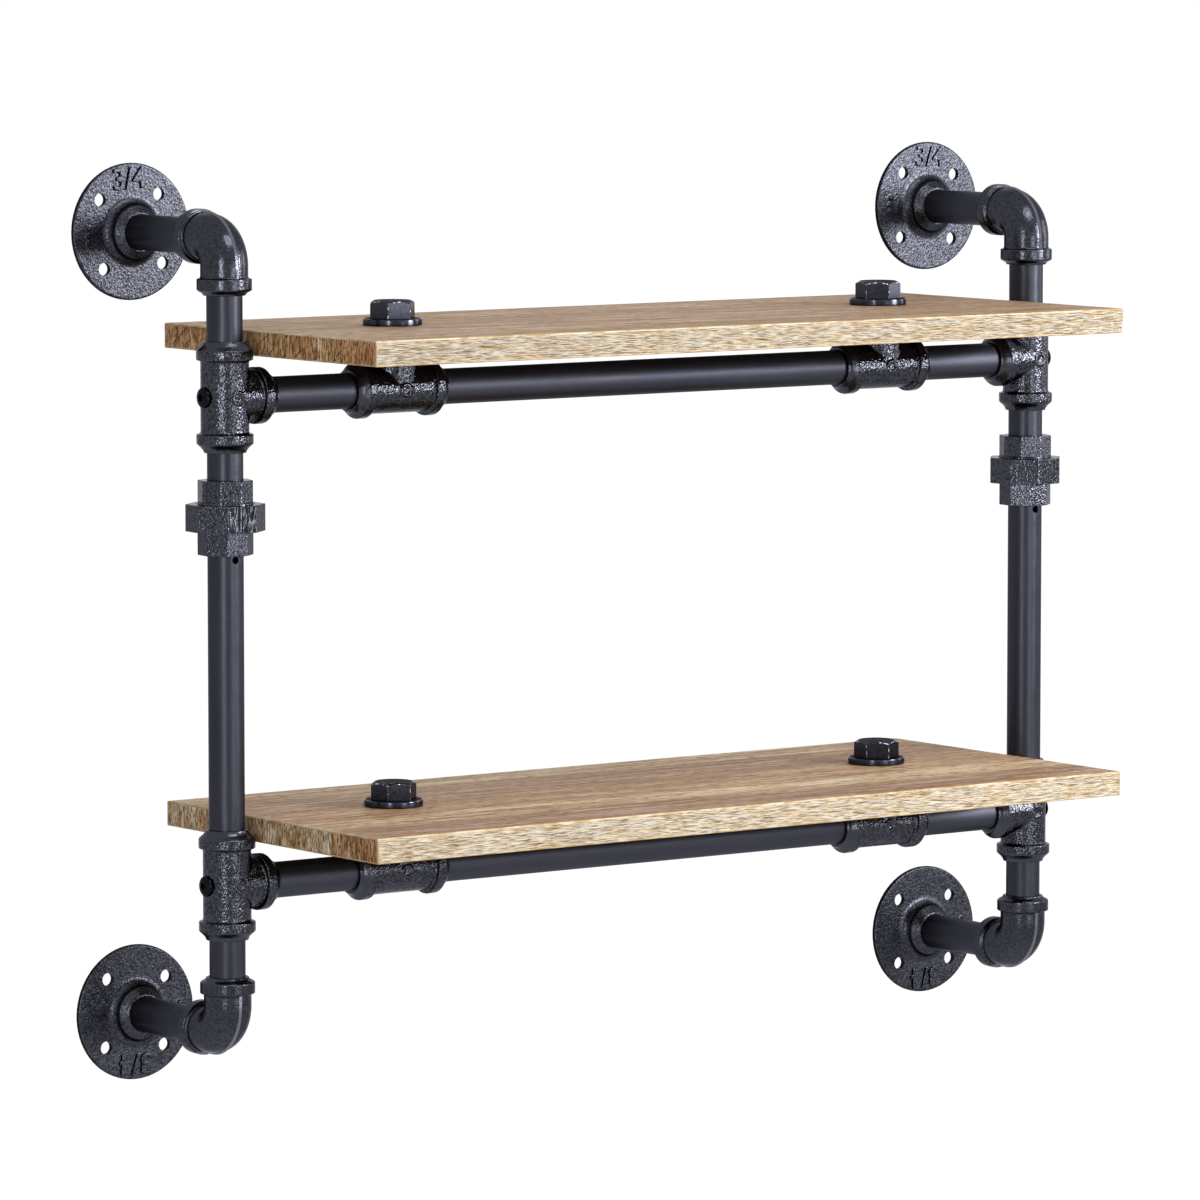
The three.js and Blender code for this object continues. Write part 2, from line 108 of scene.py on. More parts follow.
bpy.ops.mesh.primitive_plane_add(size=floor_size, location=(0, 0, -floor_drop))
floor = bpy.context.object
floor.name = "studio_floor"
floor_paint = new_material("pale_floor_paint")
tree = floor_paint.node_tree
matt = add_node(tree, "ShaderNodeBsdfDiffuse", {"Color": pale})
glow = add_node(tree, "ShaderNodeEmission", {"Color": white, "Strength": floor_glow})
lit = add_node(tree, "ShaderNodeAddShader", {0: matt.outputs[0], 1: glow.outputs[0]})
chosen = add_node(tree, "ShaderNodeMixShader", {
    0: seen_as_backdrop(tree),
    1: matt.outputs[0],
    2: lit.outputs[0],
})
add_node(tree, "ShaderNodeOutputMaterial", {"Surface": chosen.outputs[0]})
floor.data.materials.append(floor_paint)


# Light. White all round to the lens and in reflections, with a soft even fill, and five soft boxes:
# a narrow one beside the lens, three from the front round to the far right, and one overhead.
fill_strength = 0.24
light_distance = 3.0
soft_boxes = {
    "box_beside_lens": {"azimuth": -50, "elevation": 3, "wide": 0.2, "high": 1.3, "watts": 25},
    "box_in_front": {"azimuth": 4, "elevation": -2, "wide": 0.9, "high": 0.8, "watts": 16},
    "box_at_right": {"azimuth": 36, "elevation": 13, "wide": 0.75, "high": 1.0, "watts": 98},
    "box_far_right": {"azimuth": 75, "elevation": 10, "wide": 0.8, "high": 1.2, "watts": 20},
    "box_overhead": {"azimuth": 5, "elevation": 55, "wide": 1.6, "high": 1.0, "watts": 42},
}

world = bpy.data.worlds.new("studio")
world.use_nodes = True
tree = world.node_tree
tree.nodes.clear()
fill = add_node(tree, "ShaderNodeBackground", {"Color": white, "Strength": fill_strength})
backdrop = add_node(tree, "ShaderNodeBackground", {"Color": white, "Strength": 1})
chosen = add_node(tree, "ShaderNodeMixShader", {
    0: seen_as_backdrop(tree),
    1: fill.outputs[0],
    2: backdrop.outputs[0],
})
add_node(tree, "ShaderNodeOutputWorld", {"Surface": chosen.outputs[0]})
bpy.context.scene.world = world

for name, box in soft_boxes.items():
    turn = math.radians(box["azimuth"])
    rise = math.radians(box["elevation"])
    away = Vector((math.sin(turn) * math.cos(rise), -math.cos(turn) * math.cos(rise), math.sin(rise)))
    bpy.ops.object.light_add(type="AREA", location=away * light_distance)
    lamp = bpy.context.object
    lamp.name = name
    lamp.rotation_euler = away.to_track_quat("Z", "Y").to_euler()
    lamp.data.shape = "RECTANGLE"
    lamp.data.size = box["wide"]
    lamp.data.size_y = box["high"]
    lamp.data.energy = box["watts"]


# Pipes. Three-quarter inch black steel pipe, cut square, threaded and screwed into the fittings,
# then sprayed with satin gunmetal enamel. Drawn smooth, so the paint lies almost even.
pipe_radius = 13.45 * MM
pipe_bore = 10.85 * MM
pipe_chamfer = 0.6 * MM
pipe_sides = 72
pipe_crease = 30
vent_radius = 2.8 * MM
vent_drop = 3.3 * MM
vent_sides = 24
touching = 0.001 * MM
along_x, along_y, along_z = 0, 1, 2
point_along = {along_x: (0, 90, 0), along_y: (90, 0, 0), along_z: (0, 0, 0)}
# The edge of a painted metal goes to this grey at a grazing view, and not to white as bare metal's does.
edge_tint = "#cacacf"
# Nearly all of a noise texture lies between these two values.
noise_low = 0.3
noise_high = 0.7
# The inputs of a colour Mix node are its share and two colours, and this output is its mixed colour.
mix_share, mix_first, mix_second = 0, 6, 7
mixed = 2


def only(piece):
    bpy.ops.object.select_all(action="DESELECT")
    piece.select_set(True)
    bpy.context.view_layer.objects.active = piece


def apply_modifier(piece, kind, **settings):
    only(piece)
    modifier = piece.modifiers.new(kind.lower(), kind)
    for name, value in settings.items():
        setattr(modifier, name, value)
    bpy.ops.object.modifier_apply(modifier=modifier.name)


def turned(name, rings, sides):
    """A turned shape about Z: a circle pulled and resized from ring to ring, each a radius and height."""
    radius, height = rings[0]
    bpy.ops.object.select_all(action="DESELECT")
    bpy.ops.mesh.primitive_circle_add(vertices=sides, radius=radius)
    piece = bpy.context.object
    piece.name = name
    bpy.ops.object.mode_set(mode="EDIT")
    bpy.ops.mesh.select_all(action="SELECT")
    bpy.ops.transform.translate(value=(0, 0, height))
    for next_radius, next_height in rings[1:]:
        bpy.ops.mesh.extrude_region_move(TRANSFORM_OT_translate={"value": (0, 0, next_height - height)})
        scale = next_radius / radius
        bpy.ops.transform.resize(value=(scale, scale, 1), center_override=(0, 0, next_height))
        radius, height = next_radius, next_height
    bpy.ops.object.mode_set(mode="OBJECT")
    return piece


def close_up(piece):
    """Merges what meets, fills the open ends and points the faces outwards."""
    only(piece)
    bpy.ops.object.mode_set(mode="EDIT")
    bpy.ops.mesh.select_all(action="SELECT")
    bpy.ops.mesh.remove_doubles(threshold=touching)
    bpy.ops.mesh.fill_holes(sides=0)
    bpy.ops.mesh.select_all(action="SELECT")
    bpy.ops.mesh.normals_make_consistent(inside=False)
    bpy.ops.object.mode_set(mode="OBJECT")
    return piece


def put(piece, place=(0, 0, 0), turn=(0, 0, 0)):
    """Moves and turns a piece, and leaves its object at the origin."""
    only(piece)
    piece.location = place
    piece.rotation_euler = [math.radians(angle) for angle in turn]
    bpy.ops.object.transform_apply(location=True, rotation=True, scale=True)
    return piece


def rod(radius, low, high, sides, place=(0, 0, 0), turn=(0, 0, 0)):
    return put(close_up(turned("rod", [(radius, low), (radius, high)], sides)), place, turn)


def combine(piece, other, operation):
    """Joins or cuts a piece with another shape, which is used up."""
    apply_modifier(piece, "BOOLEAN", object=other, operation=operation, solver="EXACT")
    bpy.data.objects.remove(other)
    return piece


def smooth(piece, crease):
    only(piece)
    bpy.ops.object.shade_smooth_by_angle(angle=math.radians(crease))


def middle_of(node):
    low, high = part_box(node)
    return (low + high) / 2


def dress(piece, node, body):
    """Names a finished piece for its node and lets it stand for the node."""
    piece.name = node + "_piece"
    piece.data.name = piece.name
    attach(piece, body)
    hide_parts(node)


def satin_gunmetal(name, along, dark, light, rough):
    """Satin gunmetal enamel sprayed on drawn steel: an even low gloss, with faint runs down the pipe,
    shallow dents, and an orange peel drawn at twice its real half millimetre so that it shows."""
    run_length = 60
    run_width = 6
    peel_size = 1.2
    peel_depth = 0.012
    dent_size = 14
    dent_depth = 0.25
    gloss_spread = 0.08
    material = new_material(name)
    tree = material.node_tree
    place = add_node(tree, "ShaderNodeTexCoord").outputs["Object"]
    stretch = [(run_length if axis == along else run_width) * MM for axis in point_along]
    spread = add_node(tree, "ShaderNodeMapping", {"Vector": place, "Scale": stretch}, vector_type="TEXTURE")
    runs = add_node(tree, "ShaderNodeTexNoise", {"Vector": spread.outputs[0], "Scale": 1, "Detail": 4})
    dents = add_node(tree, "ShaderNodeTexNoise", {
        "Vector": place,
        "Scale": 1 / (dent_size * MM),
        "Detail": 1,
    })
    peel = add_node(tree, "ShaderNodeTexNoise", {
        "Vector": place,
        "Scale": 1 / (peel_size * MM),
        "Detail": 2,
    })
    shade = add_node(tree, "ShaderNodeMix", {
        mix_share: runs.outputs[0],
        mix_first: linear(dark),
        mix_second: linear(light),
    }, data_type="RGBA")
    gloss = add_node(tree, "ShaderNodeMapRange", {
        "Value": runs.outputs[0],
        "From Min": noise_low,
        "From Max": noise_high,
        "To Min": rough,
        "To Max": rough + gloss_spread,
    })
    wavy = add_node(tree, "ShaderNodeBump", {"Height": dents.outputs[0], "Distance": dent_depth * MM})
    bumps = add_node(tree, "ShaderNodeBump", {
        "Height": peel.outputs[0],
        "Distance": peel_depth * MM,
        "Normal": wavy.outputs[0],
    })
    finish = add_node(tree, "ShaderNodeBsdfPrincipled", {
        "Base Color": shade.outputs[mixed],
        "Metallic": 1,
        "Roughness": gloss.outputs[0],
        "Normal": bumps.outputs[0],
        "Specular Tint": linear(edge_tint),
    })
    add_node(tree, "ShaderNodeOutputMaterial", {"Surface": finish.outputs[0]})
    return material


# All the pipes carry one enamel. The rails and arms get lighter colours than the posts as painted light,
# which lifts the rails' shaded tops and undersides and the arms' darker sides.
pipe_finish = [
    satin_gunmetal("satin_gunmetal_rail_painted_lighter", along_x, "#35363d", "#40414a", rough=0.44),
    satin_gunmetal("satin_gunmetal_arm_painted_lighter", along_y, "#303138", "#3a3b43", rough=0.37),
    satin_gunmetal("satin_gunmetal_post", along_z, "#2b2c32", "#35363d", rough=0.33),
]


def pipe(node, along):
    low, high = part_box(node)
    half = (high[along] - low[along]) / 2
    tube = turned(node, [
        (pipe_bore, -half),
        (pipe_radius - pipe_chamfer, -half),
        (pipe_radius, pipe_chamfer - half),
        (pipe_radius, half - pipe_chamfer),
        (pipe_radius - pipe_chamfer, half),
        (pipe_bore, half),
        (pipe_bore, -half),
    ], pipe_sides)
    return put(close_up(tube), middle_of(node), point_along[along])


def finish_pipe(tube, node, along):
    smooth(tube, pipe_crease)
    tube.data.materials.append(pipe_finish[along])
    dress(tube, node, "frame")


post_pipes = {
    "top_arm_pipe": along_y,
    "upper_riser_pipe": along_z,
    "short_nipple": along_z,
    "lower_riser_pipe": along_z,
    "bottom_arm_pipe": along_y,
}
for side in ("left", "right"):
    for part, along in post_pipes.items():
        finish_pipe(pipe(f"{side}_{part}", along), f"{side}_{part}", along)
    node = f"{side}_middle_pipe"
    long_pipe = pipe(node, along_z)
    vent_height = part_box(f"{side}_union_threaded_body")[0].z - vent_drop
    vent_front = (middle_of(node).x, middle_of(node).y - pipe_radius, vent_height)
    drill = rod(vent_radius, -pipe_bore, pipe_bore, vent_sides, vent_front, (90, 0, 0))
    combine(long_pipe, drill, "DIFFERENCE")
    finish_pipe(long_pipe, node, along_z)
for shelf in ("upper", "lower"):
    for part in ("rail_middle_pipe", "rail_left_stub", "rail_right_stub"):
        finish_pipe(pipe(f"{shelf}_{part}", along_x), f"{shelf}_{part}", along_x)


# Wall flanges. Round malleable iron castings, bored for the arm pipe, with a filleted hub and four
# drilled screw holes. The sand leaves a coarse pebbled face, and the enamel over it glints.
bore_radius = 13.75 * MM
lip_radius = 14.85 * MM
cast_sides = 72
cast_crease = 40
overrun = 1 * MM
flange_radius = 51.48 * MM
flange_plate = 4.2 * MM
flange_rim = 0.8 * MM
fillet_spread = 6.7 * MM
hub_radius = 20.3 * MM
hub_shoulder = 11.4 * MM
hub_height = 17.5 * MM
hub_bead = 0.8 * MM
curve_steps = 6
hole_radius = 5 * MM
hole_circle = 36.77 * MM
hole_angles = (45, 135, 225, 315)
hole_sides = 32
mark_radius = 39 * MM
mark_size = 23 * MM
mark_swell = 0.35 * MM
mark_grain = 0.4 * MM
mark_passes = 1
mark_rise = 1.5 * MM
pip_radius = 1.5 * MM
pip_angles = (172, 180, 188)
flange_grain = 0.7 * MM
flange_passes = 2
flange_turns = {"left": {"top": -3.7, "bottom": 182}, "right": {"top": 2.4, "bottom": 180}}
steep = 0.7
shade_edge_slot = 1


def cast_gunmetal(name, hollow, crest, grain, depth, rough):
    """Gunmetal enamel over a sand casting: each grain of the mould is a small glossy bump with its own
    glint. Real grains are under a millimetre, and they are drawn about twice that so that they show."""
    patch_size = 16
    hollow_height = 0.35
    crest_height = 0.62
    gloss_spread = 0.03
    material = new_material(name)
    tree = material.node_tree
    place = add_node(tree, "ShaderNodeTexCoord").outputs["Object"]
    grains = add_node(tree, "ShaderNodeTexNoise", {
        "Vector": place,
        "Scale": 1 / (grain * MM),
        "Detail": 1.5,
    })
    patches = add_node(tree, "ShaderNodeTexNoise", {
        "Vector": place,
        "Scale": 1 / (patch_size * MM),
        "Detail": 2,
    })
    bumps = add_node(tree, "ShaderNodeBump", {"Height": grains.outputs[0], "Distance": depth * MM})
    # The base colour is darker in the grain hollows than on the crests, as painted shade in the hollows.
    height = add_node(tree, "ShaderNodeMapRange", {
        "Value": grains.outputs[0],
        "From Min": hollow_height,
        "From Max": crest_height,
    })
    shade = add_node(tree, "ShaderNodeMix", {
        mix_share: height.outputs[0],
        mix_first: linear(hollow),
        mix_second: linear(crest),
    }, data_type="RGBA")
    gloss = add_node(tree, "ShaderNodeMapRange", {
        "Value": patches.outputs[0],
        "From Min": noise_low,
        "From Max": noise_high,
        "To Min": rough,
        "To Max": rough + gloss_spread,
    })
    finish = add_node(tree, "ShaderNodeBsdfPrincipled", {
        "Base Color": shade.outputs[mixed],
        "Metallic": 1,
        "Roughness": gloss.outputs[0],
        "Normal": bumps.outputs[0],
        "Specular Tint": linear(edge_tint),
    })
    add_node(tree, "ShaderNodeOutputMaterial", {"Surface": finish.outputs[0]})
    return material


def pooled_gunmetal(name, colour, pool, pool_depth, rough):
    """Gunmetal enamel that has run and pooled: glossy, with the soft waves of a thick coat."""
    gloss_spread = 0.1
    material = new_material(name)
    tree = material.node_tree
    place = add_node(tree, "ShaderNodeTexCoord").outputs["Object"]
    waves = add_node(tree, "ShaderNodeTexNoise", {
        "Vector": place,
        "Scale": 1 / (pool * MM),
        "Detail": 2,
    })
    bumps = add_node(tree, "ShaderNodeBump", {"Height": waves.outputs[0], "Distance": pool_depth * MM})
    gloss = add_node(tree, "ShaderNodeMapRange", {
        "Value": waves.outputs[0],
        "From Min": noise_low,
        "From Max": noise_high,
        "To Min": rough,
        "To Max": rough + gloss_spread,
    })
    finish = add_node(tree, "ShaderNodeBsdfPrincipled", {
        "Base Color": linear(colour),
        "Metallic": 1,
        "Roughness": gloss.outputs[0],
        "Normal": bumps.outputs[0],
        "Specular Tint": linear(edge_tint),
    })
    add_node(tree, "ShaderNodeOutputMaterial", {"Surface": finish.outputs[0]})
    return material


def arc_rings(start, end, steps, hollow):
    """Rings along a quarter curve from one ring to the next, hollow as a fillet or full as a bead."""
    rings = []
    for step in range(1, steps + 1):
        angle = math.pi / 2 * step / steps
        out, up = math.sin(angle), 1 - math.cos(angle)
        if not hollow:
            out, up = up, out
        rings.append((start[0] + (end[0] - start[0]) * out, start[1] + (end[1] - start[1]) * up))
    return rings


def cast(piece, grain, passes):
    """Rounds a shape's corners all over, as a sand mould does. A finer grain keeps finer forms."""
    apply_modifier(piece, "REMESH", mode="VOXEL", voxel_size=grain, use_smooth_shade=True)
    apply_modifier(piece, "SMOOTH", factor=0.5, iterations=passes)


def copy_of(piece, mirrored=False):
    made = piece.copy()
    made.data = piece.data.copy()
    bpy.context.collection.objects.link(made)
    if mirrored:
        made.scale.x = -1
        close_up(put(made))
    return made


flange_finish = cast_gunmetal("pebbled_gunmetal", "#232429", "#3e3f46", grain=1.6, depth=0.31, rough=0.32)
# Each steep side (the raised pipe size and pips, the holes and the rim) gets a glossy pooled coat painted
# near black, as painted shade.
painted_shade_edge = pooled_gunmetal("pooled_gunmetal_painted_shade_edge", "#121216", pool=5, pool_depth=0.3, rough=0.3)

hub_foot = (hub_radius + fillet_spread, flange_plate)
flange = close_up(turned("flange", [
    (lip_radius, 0),
    (flange_radius - flange_rim, 0),
    (flange_radius, flange_rim),
    (flange_radius, flange_plate - flange_rim),
    (flange_radius - flange_rim, flange_plate),
    hub_foot,
] + arc_rings(hub_foot, (hub_radius, hub_shoulder), curve_steps, hollow=True) + [
    (hub_radius, hub_shoulder + hub_bead),
    (hub_radius - hub_bead, hub_shoulder + hub_bead * 2),
    (lip_radius, hub_height),
], cast_sides))
for angle in pip_angles:
    turn = math.radians(angle)
    pip_place = (mark_radius * math.cos(turn), mark_radius * math.sin(turn), 0)
    combine(flange, rod(pip_radius, overrun, flange_plate + mark_rise, hole_sides, pip_place), "UNION")
cast(flange, flange_grain, flange_passes)
bpy.ops.object.select_all(action="DESELECT")
bpy.ops.object.text_add(location=(0, mark_radius, flange_plate - overrun))
mark = bpy.context.object
mark.data.body = "3/4"
mark.data.size = mark_size
mark.data.align_x = "CENTER"
mark.data.align_y = "CENTER"
mark.data.extrude = overrun + mark_rise
mark.data.offset = mark_swell
bpy.ops.object.convert(target="MESH")
put(mark, mark.location)
cast(mark, mark_grain, mark_passes)
combine(flange, mark, "UNION")
combine(flange, rod(bore_radius, -overrun, hub_height + overrun, cast_sides), "DIFFERENCE")
for angle in hole_angles:
    turn = math.radians(angle)
    hole_place = (hole_circle * math.cos(turn), hole_circle * math.sin(turn), 0)
    drill = rod(hole_radius, -overrun, flange_plate + overrun, hole_sides, hole_place)
    combine(flange, drill, "DIFFERENCE")
smooth(flange, cast_crease)
flange.data.materials.append(flange_finish)
flange.data.materials.append(painted_shade_edge)
# Painted shade: the steep faces outside the hub take the near-black finish.
for face in flange.data.polygons:
    from_axis = math.hypot(face.center.x, face.center.y)
    if abs(face.normal.z) < steep and from_axis > hub_radius + fillet_spread:
        face.material_index = shade_edge_slot
for side, turns in flange_turns.items():
    for level, turn in turns.items():
        node = f"{side}_{level}_wall_flange"
        arm = middle_of(f"{side}_{level}_arm_pipe")
        dress(put(copy_of(flange), (arm.x, 0, arm.z), (90, turn, 0)), node, "frame")
bpy.data.objects.remove(flange)


# Elbows. Malleable iron castings with a raised band and a hollow flared lip at each mouth. The two
# halves of the mould leave a moulding line round the outside of the bend.
band_step = 0.9 * MM
lip_bead = 1.1 * MM
waist_share = 0.42
waist_drop = 0.5
elbow_barrel = 17.75 * MM
elbow_band = 20.5 * MM
elbow_band_width = 8 * MM
elbow_reach = 38 * MM
elbow_taper = 4.2 * MM
elbow_throat = 3.25 * MM
elbow_grain = 0.55 * MM
elbow_passes = 1
bend_radius = elbow_barrel + elbow_throat
bend_steps = 24
ridge_width = 3 * MM
ridge_rise = 1.3 * MM
ridge_start = elbow_barrel + 0.1 * ridge_rise
ridge_end = elbow_reach - elbow_band_width
flare_slot = 1
ridge_slot = 2


def mouth(barrel, band, band_width, reach, taper):
    """Rings of a mouth: the barrel, the raised band and the bell that falls from it to the lip."""
    return [
        (barrel, reach - band_width - band_step),
        (band, reach - band_width),
        (band, reach),
        (band - band_step, reach + band_step),
        (lip_radius + (band - lip_radius) * waist_share, reach + taper * waist_drop),
        (lip_radius + lip_bead, reach + taper - lip_bead),
        (lip_radius + lip_bead, reach + taper),
    ]


def flood_flares(fitting, beyond):
    """Gives the pooled finish to the faces past each band, on the flare."""
    fitting.data.materials.append(flare_finish)
    for face in fitting.data.polygons:
        if any(face.center.dot(Vector(way)) > reach for way, reach in beyond):
            face.material_index = flare_slot


def swept_bend(section, leg):
    """Pulls an open section from the wall-side end of the bend, round it, and down to its other end."""
    only(section)
    bpy.ops.object.mode_set(mode="EDIT")
    bpy.ops.mesh.select_all(action="SELECT")
    bpy.ops.mesh.extrude_region_move(TRANSFORM_OT_translate={"value": (0, bend_radius - leg, 0)})
    bpy.ops.mesh.spin(
        steps=bend_steps,
        angle=-math.pi / 2,
        center=(0, bend_radius, -bend_radius),
        axis=(1, 0, 0),
    )
    bpy.ops.mesh.extrude_region_move(TRANSFORM_OT_translate={"value": (0, 0, bend_radius - leg)})
    bpy.ops.object.mode_set(mode="OBJECT")
    return close_up(section)


def bent_rod(radius, leg):
    bpy.ops.object.select_all(action="DESELECT")
    bpy.ops.mesh.primitive_circle_add(vertices=cast_sides, radius=radius, location=(0, leg, 0),
                                      rotation=(math.pi / 2, 0, 0))
    section = bpy.context.object
    put(section, section.location, (90, 0, 0))
    return swept_bend(section, leg)


# The elbows are brushed smoother before painting, so their grains are low and they shine more evenly.
elbow_finish = cast_gunmetal("smoother_gunmetal", "#2c2d33", "#3b3c43", grain=2, depth=0.17, rough=0.21)
# Paint gathers on the flares and shines. The moulding line is painted paler, as a painted highlight along
# it.
flare_finish = pooled_gunmetal("pooled_gunmetal_flare", "#3a3b42", pool=6, pool_depth=0.6, rough=0.21)
ridge_highlight_finish = pooled_gunmetal("painted_highlight_gunmetal_ridge", "#65676f", pool=4, pool_depth=0.2, rough=0.2)

elbow_mouth = mouth(elbow_barrel, elbow_band, elbow_band_width, elbow_reach, elbow_taper)
elbow = bent_rod(elbow_barrel, elbow_reach - elbow_band_width)
elbow.name = "elbow"
for turn in ((-90, 0, 0), (180, 0, 0)):
    combine(elbow, put(close_up(turned("collar", elbow_mouth, cast_sides)), turn=turn), "UNION")
cast(elbow, elbow_grain, elbow_passes)
bpy.ops.object.select_all(action="DESELECT")
bpy.ops.mesh.primitive_circle_add(vertices=4, radius=1)
ridge = bpy.context.object
ridge.scale = (ridge_width / 2, ridge_rise, 1)
put(ridge)
put(ridge, (0, ridge_end, elbow_barrel), (90, 0, 0))
combine(elbow, swept_bend(ridge, ridge_end), "UNION")
combine(elbow, bent_rod(bore_radius, elbow_reach + elbow_taper + overrun), "DIFFERENCE")
smooth(elbow, cast_crease)
elbow.data.materials.append(elbow_finish)
flood_flares(elbow, [((0, 1, 0), elbow_reach), ((0, 0, -1), elbow_reach)])
elbow.data.materials.append(ridge_highlight_finish)
# Painted highlight: the faces along the moulding line take the paler finish.
for face in elbow.data.polygons:
    before = bend_radius - face.center.y
    above = bend_radius + face.center.z
    from_axis = math.hypot(max(before, 0), max(above, 0)) - bend_radius
    between_bands = face.center.y < ridge_end and face.center.z > -ridge_end
    if from_axis > ridge_start and between_bands:
        face.material_index = ridge_slot
for side in ("left", "right"):
    for level, roll in (("top", 0), ("bottom", 180)):
        node = f"{side}_{level}_elbow"
        arm = middle_of(f"{side}_{level}_arm_pipe")
        post = middle_of(f"{side}_middle_pipe")
        dress(put(copy_of(elbow), (post.x, post.y, arm.z), (0, roll, 0)), node, "frame")
bpy.data.objects.remove(elbow)


# Tees. The same castings with three mouths and a round boss on the front. A post tee takes the rail
# in its branch and a screw in its back; a rail tee's branch ends flat under the board.
tee_barrel = 18.05 * MM
tee_band = 21.2 * MM
tee_band_width = 6.9 * MM
tee_run_reach = 34.3 * MM
tee_branch_reach = 31 * MM
tee_taper = 6.8 * MM
tee_grain = 0.65 * MM
tee_passes = 2
seat_height = 28.4 * MM
boss_radius = 4.9 * MM
boss_ring = 1.5 * MM
boss_rise = 0.8 * MM
screw_bore = 3.7 * MM


def both_ends(rings):
    return [(radius, -height) for radius, height in reversed(rings)] + rings


def tee(branch_rings):
    """A tee with its run along Z, its branch along X and its boss towards the room, bored through."""
    run_rings = both_ends(mouth(tee_barrel, tee_band, tee_band_width, tee_run_reach, tee_taper))
    body = close_up(turned("tee", run_rings, cast_sides))
    combine(body, put(close_up(turned("branch", branch_rings, cast_sides)), turn=(0, 90, 0)), "UNION")
    boss_rings = [
        (boss_radius, 0),
        (boss_radius, tee_barrel + boss_rise),
        (boss_radius - boss_ring, tee_barrel + boss_rise),
        (boss_radius - boss_ring, tee_barrel),
    ]
    combine(body, put(close_up(turned("boss", boss_rings, hole_sides)), turn=(90, 0, 0)), "UNION")
    cast(body, tee_grain, tee_passes)
    run_end = tee_run_reach + tee_taper + overrun
    combine(body, rod(bore_radius, -run_end, run_end, cast_sides), "DIFFERENCE")
    branch_end = branch_rings[-1][1] + overrun
    return combine(body, rod(bore_radius, 0, branch_end, cast_sides, turn=(0, 90, 0)), "DIFFERENCE")


# The tees keep the deepest grain, under the glossiest coat, so they glitter most.
tee_finish = cast_gunmetal("rough_gunmetal", "#26272c", "#43444b", grain=1.8, depth=0.56, rough=0.1)

post_branch = mouth(tee_barrel, tee_band, tee_band_width, tee_branch_reach, tee_taper)
post_tee = tee([(tee_barrel, 0)] + post_branch)
combine(post_tee, rod(screw_bore, 0, tee_band, hole_sides, turn=(0, -90, 0)), "DIFFERENCE")
rail_tee = tee([
    (tee_barrel, 0),
    (tee_barrel, seat_height - tee_band_width - band_step),
    (tee_band, seat_height - tee_band_width),
    (tee_band, seat_height),
])
run_flares = [((0, 0, 1), tee_run_reach), ((0, 0, -1), tee_run_reach)]
branch_flare = ((1, 0, 0), tee_branch_reach)
for made, flares in ((post_tee, run_flares + [branch_flare]), (rail_tee, run_flares)):
    smooth(made, cast_crease)
    made.data.materials.append(tee_finish)
    flood_flares(made, flares)
for side, mirrored in (("left", False), ("right", True)):
    post = middle_of(f"{side}_middle_pipe")
    for level in ("upper", "lower"):
        node = f"{side}_{level}_post_tee"
        made = put(copy_of(post_tee, mirrored), (post.x, post.y, middle_of(node).z))
        dress(made, node, "frame")
for shelf in ("upper", "lower"):
    rail = middle_of(f"{shelf}_rail_middle_pipe")
    for side in ("left", "right"):
        node = f"{shelf}_rail_{side}_tee"
        made = put(copy_of(rail_tee), (middle_of(node).x, rail.y, rail.z), (0, -90, 0))
        dress(made, node, "frame")
bpy.data.objects.remove(post_tee)
bpy.data.objects.remove(rail_tee)


# Tee screws. Black button-head socket screws of blackened steel, driven into the back of each post
# tee to lock the pipe. The head is a glossy dome with a hexagon socket.
screw_shank = 3.4 * MM
screw_head = 7.7 * MM
screw_brim = 0.8 * MM
screw_rise = 3.5 * MM
screw_gap = 0.3 * MM
screw_tip = 12.25 * MM
screw_crease = 35
dome_tip = 0.4 * MM
socket_flats = 5 * MM
socket_depth = 2.2 * MM
hexagon = 6


def forged_black(name, dark, light, rough, speck):
    """Forged steel, heated and oiled black: a smooth dark gloss, with a faint mottle from the scale."""
    scale_depth = 0.05
    gloss_spread = 0.1
    material = new_material(name)
    tree = material.node_tree
    place = add_node(tree, "ShaderNodeTexCoord").outputs["Object"]
    mottle = add_node(tree, "ShaderNodeTexNoise", {
        "Vector": place,
        "Scale": 1 / (speck * MM),
        "Detail": 5,
    })
    shade = add_node(tree, "ShaderNodeMix", {
        mix_share: mottle.outputs[0],
        mix_first: linear(dark),
        mix_second: linear(light),
    }, data_type="RGBA")
    gloss = add_node(tree, "ShaderNodeMapRange", {
        "Value": mottle.outputs[0],
        "From Min": noise_low,
        "From Max": noise_high,
        "To Min": rough,
        "To Max": rough + gloss_spread,
    })
    bumps = add_node(tree, "ShaderNodeBump", {"Height": mottle.outputs[0], "Distance": scale_depth * MM})
    steel = add_node(tree, "ShaderNodeBsdfPrincipled", {
        "Base Color": shade.outputs[mixed],
        "Metallic": 1,
        "Roughness": gloss.outputs[0],
        "Normal": bumps.outputs[0],
        "Specular Tint": linear(edge_tint),
    })
    add_node(tree, "ShaderNodeOutputMaterial", {"Surface": steel.outputs[0]})
    return material


screw_finish = forged_black("blackened_steel", "#0c0c0f", "#1b1c20", rough=0.16, speck=2)

head_foot = tee_barrel + screw_gap
head_top = head_foot + screw_rise
brim_top = (screw_head, head_foot + screw_brim)
screw = close_up(turned("screw", [
    (screw_shank - screw_gap, screw_tip),
    (screw_shank, screw_tip + screw_gap),
    (screw_shank, head_foot),
    (screw_head, head_foot),
    brim_top,
] + arc_rings(brim_top, (dome_tip, head_top), curve_steps, hollow=False), cast_sides))
socket_corner = socket_flats / 2 / math.cos(math.pi / hexagon)
combine(screw, rod(socket_corner, head_top - socket_depth, head_top + overrun, hexagon), "DIFFERENCE")
smooth(screw, screw_crease)
screw.data.materials.append(screw_finish)
for side, turn in (("left", -90), ("right", 90)):
    post = middle_of(f"{side}_middle_pipe")
    for level in ("upper", "lower"):
        node = f"{side}_{level}_tee_screw"
        made = put(copy_of(screw), (post.x, post.y, middle_of(node).z), (0, turn, 0))
        dress(made, node, "frame")
bpy.data.objects.remove(screw)
